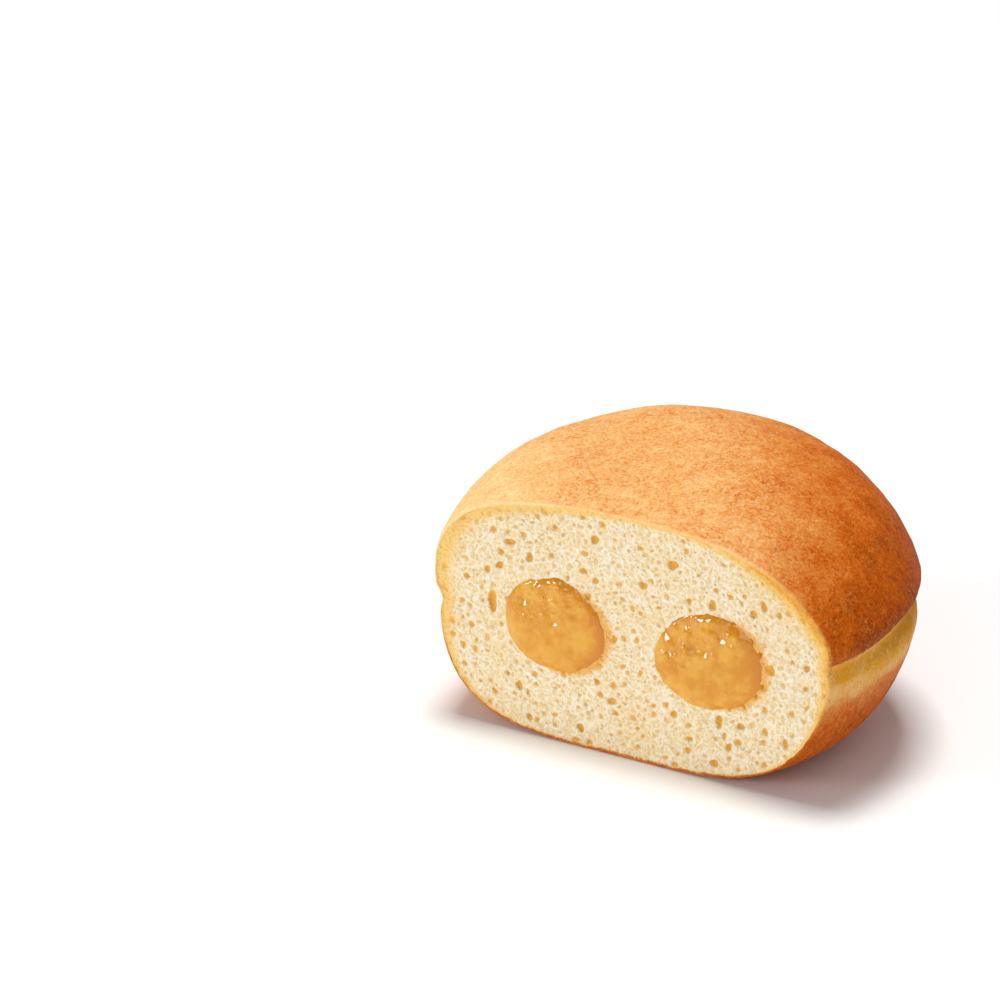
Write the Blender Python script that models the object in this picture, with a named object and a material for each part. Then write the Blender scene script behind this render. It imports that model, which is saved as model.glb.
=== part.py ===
"""A filled doughnut, cut through so that its crumb and two lobes of jelly show.

Metres, +Z up. The cut face looks along -Y, the long side of the cut lies along X and the doughnut
stands on the small flat spot under its base. The origin is the bottom centre of the whole.

The dough is one closed solid: a risen upper half and a flatter lower half that meet in a soft crease
round the waist, with the larger pores of the crumb hollowed into the cut face. Each lobe of jelly is
a solid of its own in a pocket of the dough, and swells a little out of the cut.
"""

import math

import bmesh
import bpy
import numpy as np
from mathutils import Matrix, Vector

MM = 0.001

# Driving sizes of the whole doughnut
OUTER_RADIUS = 43.0 * MM
DOME_HEIGHT = 46.6 * MM
WAIST_HEIGHT = 25.3 * MM
CUT_OFFSET = 17.5 * MM

# How it departs from a round, level one
OUTLINE_WAVE_COS = -0.026
OUTLINE_WAVE_SIN = -0.022
WAIST_TILT_X = 3.4 * MM
WAIST_TILT_Y = 2.1 * MM
DOME_SLOPE_X = 0.037
DOME_SLOPE_Y = 0.15
DOME_LEAN_X = -6.8 * MM
DOME_LEAN_Y = -2.2 * MM
BASE_LEAN_X = -1.75 * MM
BASE_LEAN_Y = 0.6 * MM
BASE_TAPER_X = 0.013
BASE_TAPER_REACH = 4.0 * MM

# Roundness of the two halves: an exponent for the radius and one for the height
UPPER_RADIUS_POWER = 3.7
UPPER_HEIGHT_POWER = 1.84
LOWER_RADIUS_POWER = 4.76
LOWER_HEIGHT_POWER = 2.16

# Crease round the waist, shallow at the two ends of the cut and deeper round the back
CREASE_HEIGHT = 23.4 * MM
CREASE_TILT_X = 2.0 * MM
CREASE_DEPTH = 2.0 * MM
CREASE_DEPTH_AT_CUT = 0.6 * MM
CREASE_HALF_HEIGHT = 1.8 * MM
CREASE_FADE_TURN = math.radians(22.0)
BACK_AZIMUTH = math.radians(90.0)
CUT_END_TURN = math.radians(114.0)

# Soft hollows and swells of the crust
SWELL_HEIGHT = 0.22 * MM
SWELL_LENGTH_X = 38.0 * MM
SWELL_LENGTH_Y = 33.0 * MM
SWELL_SHIFT = 1.1
SWELL_SLANT_SHARE = 0.5

# The base is sunk by this much and sliced level, which leaves the flat spot it rests on
FLAT_SPOT_SINK = 0.35 * MM

# Clearance between a lobe of jelly and its pocket in the dough
GAP = 0.3 * MM

# Lobes of jelly: centre in the cut face, half sizes and tilt there, and reach into the dough
LOBE_REACH = 36.0 * MM
LOBE_CROWN = 0.9 * MM
LOBE_POWER = 2.6
PLUG_POWER = 0.05
POCKET_MOUTH = 2.7 * MM
LOBES = {
    "filling_left": {
        "centre": (-14.4 * MM, 21.5 * MM),
        "half_width": 9.6 * MM,
        "half_height": 7.9 * MM,
        "tilt": math.radians(-4.0),
        "wobble_turn": 0.6,
        "bud": 0.6 * MM,
    },
    "filling_right": {
        "centre": (15.9 * MM, 21.6 * MM),
        "half_width": 10.0 * MM,
        "half_height": 8.1 * MM,
        "tilt": math.radians(12.0),
        "wobble_turn": 2.4,
        "bud": 0.0,
    },
}
LOBE_WOBBLE = 0.012
LOBE_FINE_SHARE = 0.7
BUD_ANGLE = math.radians(90.0)
BUD_HALF_ANGLE = math.radians(9.0)

# The largest pores of the crumb: place in the cut face, half length, half width, and the turn of the
# length up from the horizontal in degrees
LARGE_PORES = (
    (-23.5, 34.9, 1.25, 0.70, 12.0),
    (-19.5, 32.9, 0.95, 0.80, 90.0),
    (-8.8, 32.8, 1.10, 0.60, 0.0),
    (3.0, 32.8, 1.00, 0.75, -15.0),
    (8.7, 37.7, 1.15, 0.95, 40.0),
    (16.5, 32.1, 1.15, 0.80, 75.0),
    (26.3, 34.1, 1.30, 0.65, 110.0),
    (27.8, 22.9, 1.10, 0.90, -35.0),
    (30.9, 10.0, 1.15, 0.70, 100.0),
    (18.1, 11.2, 1.35, 0.75, 85.0),
    (17.3, 3.2, 1.00, 0.75, 12.0),
    (-3.0, 9.9, 1.10, 0.75, 20.0),
    (-21.6, 8.6, 0.95, 0.80, 80.0),
    (-27.0, 23.3, 2.20, 0.95, 90.0),
)

# The next largest are scattered over the cut face by a seeded draw
PORE_COUNT = 52
PORE_SEED = 14
PORE_RADIUS = (0.75 * MM, 1.45 * MM)
PORE_FLATNESS = (0.55, 0.85)
PORE_TILT_SPREAD = math.radians(30.0)
PORE_DEPTH = 0.8
PORE_WALL = 0.8 * MM
PORE_FIELD_CENTRE = (0.6 * MM, 22.5 * MM)
PORE_FIELD_HALF = (35.5 * MM, 18.5 * MM)
PORE_FIELD_POWER = 2.8

# Edges bent more than this are shaded sharp, and a slice joins points closer than this
SHARP_ANGLE = math.radians(40.0)
JOIN_DISTANCE = 1e-7

# Facets: the rings of the dough follow the crease and crowd towards it
BODY_SEGMENTS = 84
BODY_RINGS = 44
RING_CROWDING = 0.6
LOBE_SEGMENTS = 36
LOBE_RINGS = 14


def powered(values: np.ndarray, power: float) -> np.ndarray:
    """Raise to a power, taking values that rounding left just below zero as zero."""
    return np.maximum(values, 0.0) ** power


def waist_height(azimuth: np.ndarray) -> np.ndarray:
    """Height of the widest part, which runs a little higher on the right and at the back."""
    return WAIST_HEIGHT + WAIST_TILT_X * np.cos(azimuth) + WAIST_TILT_Y * np.sin(azimuth)


def crease_height(azimuth: np.ndarray) -> np.ndarray:
    """Height of the crease, a little higher on the right."""
    return CREASE_HEIGHT + CREASE_TILT_X * np.cos(azimuth)


def crease_latitude(azimuth: np.ndarray) -> np.ndarray:
    """Latitude at which the skin has the height of the crease, below or above the widest part."""
    waist = waist_height(azimuth)
    offset = crease_height(azimuth) - waist
    down = powered(-offset / (waist + FLAT_SPOT_SINK), 0.5 * LOWER_HEIGHT_POWER)
    up = powered(offset / (DOME_HEIGHT - waist), 0.5 * UPPER_HEIGHT_POWER)
    return np.arcsin(up) - np.arcsin(down)


def crease_groove(azimuth: np.ndarray, height: np.ndarray) -> np.ndarray:
    """How far the crease draws the skin in: a bell shape in height, fading at the ends of the cut."""
    turn = np.abs(np.angle(np.exp(1j * (azimuth - BACK_AZIMUTH))))
    to_end = np.maximum(CUT_END_TURN - turn, 0.0)
    fade = np.exp(-((to_end / CREASE_FADE_TURN) ** 2))
    depth = CREASE_DEPTH - (CREASE_DEPTH - CREASE_DEPTH_AT_CUT) * fade
    return depth * np.exp(-(((height - crease_height(azimuth)) / CREASE_HALF_HEIGHT) ** 2))


def crust_swell(x: np.ndarray, y: np.ndarray) -> np.ndarray:
    """Soft swells of the dome: crossed long waves and one slanting wave."""
    turn_x = 2.0 * math.pi * x / SWELL_LENGTH_X
    turn_y = 2.0 * math.pi * y / SWELL_LENGTH_Y
    crossed = np.sin(turn_x + SWELL_SHIFT) * np.sin(turn_y)
    return SWELL_HEIGHT * (crossed + SWELL_SLANT_SHARE * np.sin(turn_x + turn_y))


def body_surface(azimuth: np.ndarray, latitude: np.ndarray) -> np.ndarray:
    """Points of the whole doughnut's skin.

    A quarter of a superellipse joins the waist to the top of the dome, and a flatter one joins it to
    the base. The dome leans and slopes, the base tapers, and the crease draws the skin in below the
    widest part of the dome. Latitude runs from -90 degrees under the base to +90 degrees on top.
    """
    cosine = np.cos(latitude)
    rise = np.abs(np.sin(latitude))
    upper = latitude >= 0.0
    waist = waist_height(azimuth)
    outline = OUTER_RADIUS * (
        1.0 + OUTLINE_WAVE_COS * np.cos(2.0 * azimuth) + OUTLINE_WAVE_SIN * np.sin(2.0 * azimuth)
    )

    reach_up = powered(cosine, 2.0 / UPPER_RADIUS_POWER)
    climb_up = powered(rise, 2.0 / UPPER_HEIGHT_POWER)
    top = DOME_HEIGHT + reach_up * outline * (
        DOME_SLOPE_X * np.cos(azimuth) + DOME_SLOPE_Y * np.sin(azimuth)
    )
    height_up = waist + (top - waist) * climb_up

    reach_down = powered(cosine, 2.0 / LOWER_RADIUS_POWER)
    drop = powered(rise, 2.0 / LOWER_HEIGHT_POWER)
    height_down = waist - (waist + FLAT_SPOT_SINK) * drop
    taper = BASE_TAPER_X * np.cos(azimuth) * (1.0 - np.exp(-(waist - height_down) / BASE_TAPER_REACH))

    height = np.where(upper, height_up, height_down)
    radius = outline * np.where(upper, reach_up, reach_down * (1.0 + taper))
    radius = radius - crease_groove(azimuth, height)
    lean_x = np.where(upper, DOME_LEAN_X * climb_up, BASE_LEAN_X * drop)
    lean_y = np.where(upper, DOME_LEAN_Y * climb_up, BASE_LEAN_Y * drop)
    x = radius * np.cos(azimuth) + lean_x
    y = radius * np.sin(azimuth) + lean_y
    height = height + np.where(upper, crust_swell(x, y) * climb_up, 0.0)
    return np.stack([x, y, height], axis=-1)


def lobe_outline(angle: np.ndarray, lobe: dict, grow: float) -> tuple[np.ndarray, np.ndarray]:
    """Uneven oval of a lobe in the cut face, grown outwards by a clearance, as X and Z offsets."""
    wobble = 1.0 + LOBE_WOBBLE * (
        np.cos(3.0 * angle + lobe["wobble_turn"])
        + LOBE_FINE_SHARE * np.cos(5.0 * angle - lobe["wobble_turn"])
    )
    turn = np.angle(np.exp(1j * (angle - BUD_ANGLE)))
    bud = lobe["bud"] * np.exp(-((turn / BUD_HALF_ANGLE) ** 2))
    wide = (lobe["half_width"] * wobble + grow + bud) * np.cos(angle)
    tall = (lobe["half_height"] * wobble + grow + bud) * np.sin(angle)
    cosine, sine = math.cos(lobe["tilt"]), math.sin(lobe["tilt"])
    return wide * cosine - tall * sine, wide * sine + tall * cosine


def lobe_surface(points: np.ndarray, lobe: dict, grow: float, mouth: float) -> np.ndarray:
    """Carry a unit ball, poles along Y, onto a lobe.

    The half behind the cut becomes a blunt finger, a superellipse along its length. The half before
    it becomes a shallow crown of the height given by mouth, or a straight plug when grow is set.
    """
    angle = np.arctan2(points[:, 2], points[:, 0])
    depth = np.clip(points[:, 1], -1.0, 1.0)
    ring = np.sqrt(np.maximum(0.0, 1.0 - depth**2))
    behind = depth >= 0.0
    across, upwards = lobe_outline(angle, lobe, grow)
    finger = powered(ring, 2.0 / LOBE_POWER)
    crown = ring if grow == 0.0 else powered(ring, PLUG_POWER)
    scale = np.where(behind, finger, crown)
    run_back = powered(np.abs(depth), 2.0 / LOBE_POWER) * (LOBE_REACH + grow)
    y = np.where(behind, -CUT_OFFSET + run_back, -CUT_OFFSET - mouth * np.abs(depth))
    x = lobe["centre"][0] + across * scale
    z = lobe["centre"][1] + upwards * scale
    return np.stack([x, y, z], axis=-1)


def read_points(bm: bmesh.types.BMesh) -> np.ndarray:
    """All vertex places of a mesh as one array."""
    return np.array([vert.co[:] for vert in bm.verts])


def write_points(bm: bmesh.types.BMesh, points: np.ndarray) -> None:
    """Put an array of places back into a mesh."""
    for vert, place in zip(bm.verts, points.tolist()):
        vert.co = place


def make_material(name: str, colour: tuple, roughness: float, metallic: float = 0.0):
    """A Principled BSDF with one colour, roughness and metallic value."""
    material = bpy.data.materials.new(name)
    material.use_nodes = True
    shader = material.node_tree.nodes["Principled BSDF"]
    shader.inputs["Base Color"].default_value = (*colour, 1.0)
    shader.inputs["Roughness"].default_value = roughness
    shader.inputs["Metallic"].default_value = metallic
    material.diffuse_color = (*colour, 1.0)
    return material


def make_object(name: str, bm: bmesh.types.BMesh, materials: list, parent) -> bpy.types.Object:
    """Turn a bmesh into a named, smooth-shaded object under its parent."""
    mesh = bpy.data.meshes.new(name)
    bm.to_mesh(mesh)
    bm.free()
    for material in materials:
        mesh.materials.append(material)
    mesh.shade_smooth()
    mesh.set_sharp_from_angle(angle=SHARP_ANGLE)
    obj = bpy.data.objects.new(name, mesh)
    bpy.context.scene.collection.objects.link(obj)
    obj.parent = parent
    return obj


def as_cutter(obj: bpy.types.Object) -> bpy.types.Object:
    """Mark an object as a cutter only."""
    obj.hide_render = True
    obj.display_type = "WIRE"
    return obj


def slice_off(bm: bmesh.types.BMesh, point: tuple, outward: tuple) -> list:
    """Cut away what lies beyond a plane and close the cut with one flat face."""
    whole = list(bm.verts) + list(bm.edges) + list(bm.faces)
    cut = bmesh.ops.bisect_plane(
        bm, geom=whole, dist=JOIN_DISTANCE, plane_co=point, plane_no=outward, clear_outer=True
    )
    rim = [item for item in cut["geom_cut"] if isinstance(item, bmesh.types.BMEdge)]
    return bmesh.ops.edgeloop_fill(bm, edges=rim)["faces"]


def whole_ball(segments: int, rings: int, poles_along_y: bool = False) -> bmesh.types.BMesh:
    """A unit ball of quads, its poles along Z or along Y."""
    bm = bmesh.new()
    turn = Matrix.Rotation(math.radians(90.0), 4, "X") if poles_along_y else Matrix.Identity(4)
    bmesh.ops.create_uvsphere(bm, u_segments=segments, v_segments=rings, radius=1.0, matrix=turn)
    return bm


def build_body() -> bmesh.types.BMesh:
    """The dough before its pockets and pores: skin, flat spot and cut face."""
    bm = whole_ball(BODY_SEGMENTS, BODY_RINGS)
    ball = read_points(bm)
    azimuth = np.arctan2(ball[:, 1], ball[:, 0])
    latitude = np.arcsin(np.clip(ball[:, 2], -1.0, 1.0))
    from_waist = np.abs(latitude) / (0.5 * math.pi)
    latitude *= RING_CROWDING + (1.0 - RING_CROWDING) * from_waist
    latitude += crease_latitude(azimuth) * (1.0 - from_waist)
    write_points(bm, body_surface(azimuth, latitude))
    slice_off(bm, (0.0, 0.0, 0.0), (0.0, 0.0, -1.0))
    for face in slice_off(bm, (0.0, -CUT_OFFSET, 0.0), (0.0, -1.0, 0.0)):
        face.material_index = 1
    bmesh.ops.recalc_face_normals(bm, faces=bm.faces)
    return bm


def build_lobe(lobe: dict, grow: float, mouth: float) -> bmesh.types.BMesh:
    """One lobe of jelly, or the pocket it fills when it is grown by the clearance."""
    bm = whole_ball(LOBE_SEGMENTS, LOBE_RINGS, poles_along_y=True)
    write_points(bm, lobe_surface(read_points(bm), lobe, grow, mouth))
    bmesh.ops.recalc_face_normals(bm, faces=bm.faces)
    return bm


def clear_of_lobes(x: float, z: float, room: float) -> bool:
    """Whether a place in the cut face keeps its distance from both lobes."""
    for lobe in LOBES.values():
        across = (x - lobe["centre"][0]) / (lobe["half_width"] + room)
        upwards = (z - lobe["centre"][1]) / (lobe["half_height"] + room)
        if across**2 + upwards**2 < 1.0:
            return False
    return True


def scatter_pores() -> list:
    """Places and sizes of the larger pores: the largest as listed, the others by a seeded draw.

    The draw keeps a wall between any two. A pore that it places lies lengthwise round the middle of
    the cut, as the dough stretched when it rose.
    """
    draw = np.random.default_rng(PORE_SEED)
    pores = [
        (x * MM, z * MM, length * MM, width / length, math.radians(turn))
        for x, z, length, width, turn in LARGE_PORES
    ]
    while len(pores) < PORE_COUNT:
        u, v, size, squash, tilt = draw.random(5)
        across = 2.0 * u - 1.0
        upwards = 2.0 * v - 1.0
        if abs(across) ** PORE_FIELD_POWER + abs(upwards) ** PORE_FIELD_POWER > 1.0:
            continue
        x = PORE_FIELD_CENTRE[0] + PORE_FIELD_HALF[0] * across
        z = PORE_FIELD_CENTRE[1] + PORE_FIELD_HALF[1] * upwards
        radius = PORE_RADIUS[0] + (PORE_RADIUS[1] - PORE_RADIUS[0]) * size**2
        apart = all(math.hypot(x - p[0], z - p[1]) > radius + p[2] + PORE_WALL for p in pores)
        if apart and clear_of_lobes(x, z, radius + PORE_WALL + GAP):
            flatness = PORE_FLATNESS[0] + (PORE_FLATNESS[1] - PORE_FLATNESS[0]) * squash
            outward = math.atan2(upwards / PORE_FIELD_HALF[1], across / PORE_FIELD_HALF[0])
            turn = outward + 0.5 * math.pi + PORE_TILT_SPREAD * (tilt - 0.5)
            pores.append((x, z, radius, flatness, turn))
    return pores


def build_pores() -> bmesh.types.BMesh:
    """All pore hollows as small separate ellipsoids that straddle the cut face."""
    bm = bmesh.new()
    for x, z, radius, flatness, turn in scatter_pores():
        place = Matrix.Translation(Vector((x, -CUT_OFFSET, z)))
        spin = Matrix.Rotation(-turn, 4, "Y")
        size = Matrix.Diagonal(Vector((radius, radius * PORE_DEPTH, radius * flatness, 1.0)))
        bmesh.ops.create_icosphere(bm, subdivisions=2, radius=1.0, matrix=place @ spin @ size)
    return bm


def hollow_out(body: bpy.types.Object, cutter: bpy.types.Object) -> None:
    """Take a cutter's space out of the body; the carved walls take the cutter's material."""
    cut = body.modifiers.new(cutter.name, "BOOLEAN")
    cut.operation = "DIFFERENCE"
    cut.solver = "EXACT"
    cut.material_mode = "TRANSFER"
    cut.object = as_cutter(cutter)


def main() -> None:
    """Build the doughnut."""
    for obj in list(bpy.data.objects):
        bpy.data.objects.remove(obj, do_unlink=True)

    crust = make_material("golden_crust", (0.80, 0.40, 0.12), 0.48)
    crumb = make_material("cream_crumb", (0.86, 0.68, 0.42), 0.85)
    jelly = make_material("amber_jelly", (0.75, 0.38, 0.07), 0.16)

    doughnut = bpy.data.objects.new("doughnut", None)
    bpy.context.scene.collection.objects.link(doughnut)

    shell = build_body()
    low = read_points(shell).min(axis=0)
    high = read_points(shell).max(axis=0)
    front = low[1] - LOBE_CROWN
    doughnut.location = (-(low[0] + high[0]) / 2.0, -(front + high[1]) / 2.0, 0.0)
    dough = make_object("dough", shell, [crust, crumb], doughnut)

    for name, lobe in LOBES.items():
        make_object(name, build_lobe(lobe, 0.0, LOBE_CROWN), [jelly], doughnut)
        pocket = make_object(name + "_pocket", build_lobe(lobe, GAP, POCKET_MOUTH), [crumb], doughnut)
        hollow_out(dough, pocket)
    hollow_out(dough, make_object("pores", build_pores(), [crumb], doughnut))


main()
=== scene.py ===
"""Looks of a filled doughnut, cut through so that its crumb and its two lobes of jelly show.

The crust is a fine skin with a rounded lip at the cut, the crumb is a relief of pores over the whole
cut face, and each lobe of jelly is a wet, lumpy finger in its pocket. All of them follow the same named
sizes as the solids that they stand for. Metres, +Z up, the cut face looks along -Y.
"""
import logging
import math
from dataclasses import dataclass, field
from enum import Enum

import bmesh
import bpy
import numpy as np
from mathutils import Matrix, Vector


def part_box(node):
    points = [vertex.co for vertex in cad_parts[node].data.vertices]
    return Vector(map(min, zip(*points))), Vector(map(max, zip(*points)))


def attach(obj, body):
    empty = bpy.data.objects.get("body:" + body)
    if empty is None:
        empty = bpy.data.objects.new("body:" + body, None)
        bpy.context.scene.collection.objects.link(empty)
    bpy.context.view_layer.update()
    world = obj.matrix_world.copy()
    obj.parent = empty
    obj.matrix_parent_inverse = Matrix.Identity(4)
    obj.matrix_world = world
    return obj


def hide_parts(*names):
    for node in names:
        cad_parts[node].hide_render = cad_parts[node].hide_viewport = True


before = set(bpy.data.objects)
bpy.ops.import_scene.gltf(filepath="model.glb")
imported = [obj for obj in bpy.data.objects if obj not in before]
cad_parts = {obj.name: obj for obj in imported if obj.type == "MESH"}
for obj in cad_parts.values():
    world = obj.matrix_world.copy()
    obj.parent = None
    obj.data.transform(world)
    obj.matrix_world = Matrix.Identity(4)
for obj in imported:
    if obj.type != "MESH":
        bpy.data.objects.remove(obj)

MM = 0.001
FULL_TURN = 2.0 * math.pi
BODY_NAME = "root"
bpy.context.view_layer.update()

log = logging.getLogger("doughnut")


class Slot(Enum):
    """Material slots of the record."""

    DOUGH = "fried_dough"
    CRUMB = "crumb"
    JELLY = "jelly"


class Layer(Enum):
    """Attributes that carry a pattern from the form of a piece to its finish."""

    TOAST = "toast"
    BAND = "band"
    LIP = "lip"
    PORE = "pore"
    RIM = "rim"
    SOAK = "soak"
    RIM_SHADE = "rim_shade"
    WET = "wet"


def powered(values: np.ndarray, power: float) -> np.ndarray:
    """Raise to a power, taking values that rounding left just below zero as zero."""
    return np.maximum(values, 0.0) ** power


def smooth_step(values: np.ndarray, low: float, high: float) -> np.ndarray:
    """Rise from 0 at low to 1 at high along 3t^2 - 2t^3."""
    t = np.clip((values - low) / (high - low), 0.0, 1.0)
    return t * t * (3.0 - 2.0 * t)


def bell(values: np.ndarray, width: float) -> np.ndarray:
    """Bell curve exp(-(v/width)^2)."""
    return np.exp(-((values / width) ** 2))


def turn_from(middle: float, angle: np.ndarray) -> np.ndarray:
    """Turn from a middle angle to each angle, between minus and plus half a turn."""
    return np.angle(np.exp(1j * (angle - middle)))


def on_sheet(x: np.ndarray, z: np.ndarray) -> np.ndarray:
    """Places in the upright plane Y = 0, one row each."""
    return np.stack([x, np.zeros_like(x), z], axis=-1)


@dataclass(frozen=True)
class LatticeNoise:
    """Soft noise: seeded heights on a cubic lattice, read between its points with a smooth step."""

    seed: int
    cell: float
    side: int = 48

    def at(self, points: np.ndarray) -> np.ndarray:
        """Noise between about -1 and 1.

        Args:
            points: Places, one row each.

        Returns:
            One value for each place.
        """
        draw = np.random.default_rng(self.seed)
        table = draw.uniform(-1.0, 1.0, (self.side,) * 3)
        axes = np.linalg.qr(draw.normal(size=(3, 3)))[0]
        scaled = points @ axes / self.cell
        base = np.floor(scaled).astype(np.int64)
        part = scaled - base
        blend = part * part * (3.0 - 2.0 * part)
        total = np.zeros(len(points))
        for corner in np.ndindex(2, 2, 2):
            weight = np.prod(np.where(corner, blend, 1.0 - blend), axis=-1)
            place = (base + corner) % self.side
            total += weight * table[place[:, 0], place[:, 1], place[:, 2]]
        return total


@dataclass(frozen=True)
class DiscGrid:
    """Square grid wrapped onto a disc, ring by ring, so that its cells stay even and it has no pole.

    A square of half side s becomes the circle of radius s, and a step along the square's side becomes
    an equal step of angle.
    """

    across: int
    upwards: int

    def polar(self) -> tuple[np.ndarray, np.ndarray]:
        """Radius from 0 to 1 and angle of every grid point, row by row.

        Returns:
            Both, one value for each grid point.
        """
        steps_u = np.linspace(-1.0, 1.0, self.across + 1)
        steps_v = np.linspace(-1.0, 1.0, self.upwards + 1)
        u, v = np.meshgrid(steps_u, steps_v)
        radius = np.maximum(np.abs(u), np.abs(v))
        safe = np.where(radius == 0.0, 1.0, radius)
        sideways = np.abs(u) >= np.abs(v)
        along = np.where(sideways, v, u) / safe
        eighth = 0.25 * math.pi
        angle = np.where(
            sideways,
            np.where(u >= 0.0, eighth * along, math.pi - eighth * along),
            np.where(v >= 0.0, 2.0 * eighth - eighth * along, -2.0 * eighth + eighth * along),
        )
        return radius.ravel(), angle.ravel()

    def numbers(self) -> np.ndarray:
        """Index of every grid point, as rows and columns."""
        rows, columns = self.upwards + 1, self.across + 1
        return np.arange(rows * columns).reshape(rows, columns)


def grid_faces(numbers: np.ndarray) -> np.ndarray:
    """Quads between the rows and columns of an index grid, turning from columns to rows."""
    corners = (numbers[:-1, :-1], numbers[:-1, 1:], numbers[1:, 1:], numbers[1:, :-1])
    return np.stack([corner.ravel() for corner in corners], axis=-1)


def ball_grid(cells: int) -> tuple[np.ndarray, np.ndarray, np.ndarray, np.ndarray]:
    """Two disc grids that share their outer ring, as the two halves of a ball.

    Args:
        cells: Cells along the side of each disc's square.

    Returns:
        Radius from 0 at each half's middle to 1 at the shared ring, angle, which half each point
        belongs to (1 for the first, -1 for the second), and the quads, facing outwards for a first
        half that lies on the side of +Z.
    """
    disc = DiscGrid(cells, cells)
    radius, angle = disc.polar()
    numbers = disc.numbers()
    inner = numbers[1:-1, 1:-1]
    second = numbers.copy()
    second[1:-1, 1:-1] = len(radius) + np.arange(inner.size).reshape(inner.shape)
    half = np.concatenate([np.ones(len(radius)), -np.ones(inner.size)])
    faces = np.concatenate([grid_faces(numbers), grid_faces(second)[:, ::-1]])
    return (
        np.concatenate([radius, radius[inner.ravel()]]),
        np.concatenate([angle, angle[inner.ravel()]]),
        half,
        faces,
    )


def put_mesh(name: str, points: np.ndarray, faces: np.ndarray) -> bpy.types.Object:
    """Put a grid of quads into a smooth-shaded object at the origin.

    Args:
        name: Name of the piece.
        points: Places, one row each.
        faces: Four indices a row.

    Returns:
        The object, linked to the scene.
    """
    mesh = bpy.data.meshes.new(name)
    mesh.vertices.add(len(points))
    mesh.vertices.foreach_set("co", points.astype(np.float32).ravel())
    mesh.loops.add(faces.size)
    mesh.loops.foreach_set("vertex_index", faces.astype(np.int32).ravel())
    mesh.polygons.add(len(faces))
    mesh.polygons.foreach_set("loop_start", np.arange(0, faces.size, 4, dtype=np.int32))
    mesh.update(calc_edges=True)
    mesh.shade_smooth()
    piece = bpy.data.objects.new(name, mesh)
    bpy.context.scene.collection.objects.link(piece)
    return piece


def read_points(piece: bpy.types.Object) -> np.ndarray:
    """Places of all the vertices of a piece.

    Args:
        piece: The piece.

    Returns:
        One row for each vertex.
    """
    flat = np.empty(len(piece.data.vertices) * 3, dtype=np.float32)
    piece.data.vertices.foreach_get("co", flat)
    return flat.reshape(-1, 3).astype(float)


def read_normals(piece: bpy.types.Object) -> np.ndarray:
    """Normals of all the vertices of a piece.

    Args:
        piece: The piece.

    Returns:
        One row for each vertex.
    """
    flat = np.empty(len(piece.data.vertices) * 3, dtype=np.float32)
    piece.data.vertex_normals.foreach_get("vector", flat)
    return flat.reshape(-1, 3).astype(float)


def write_points(piece: bpy.types.Object, points: np.ndarray) -> None:
    """Move all the vertices of a piece to new places."""
    piece.data.vertices.foreach_set("co", points.astype(np.float32).ravel())
    piece.data.update()


def write_layer(piece: bpy.types.Object, layer: Layer, values: np.ndarray) -> None:
    """Store one value for each vertex under the layer's name."""
    attribute = piece.data.attributes.new(layer.value, "FLOAT", "POINT")
    attribute.data.foreach_set("value", values.astype(np.float32))


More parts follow.
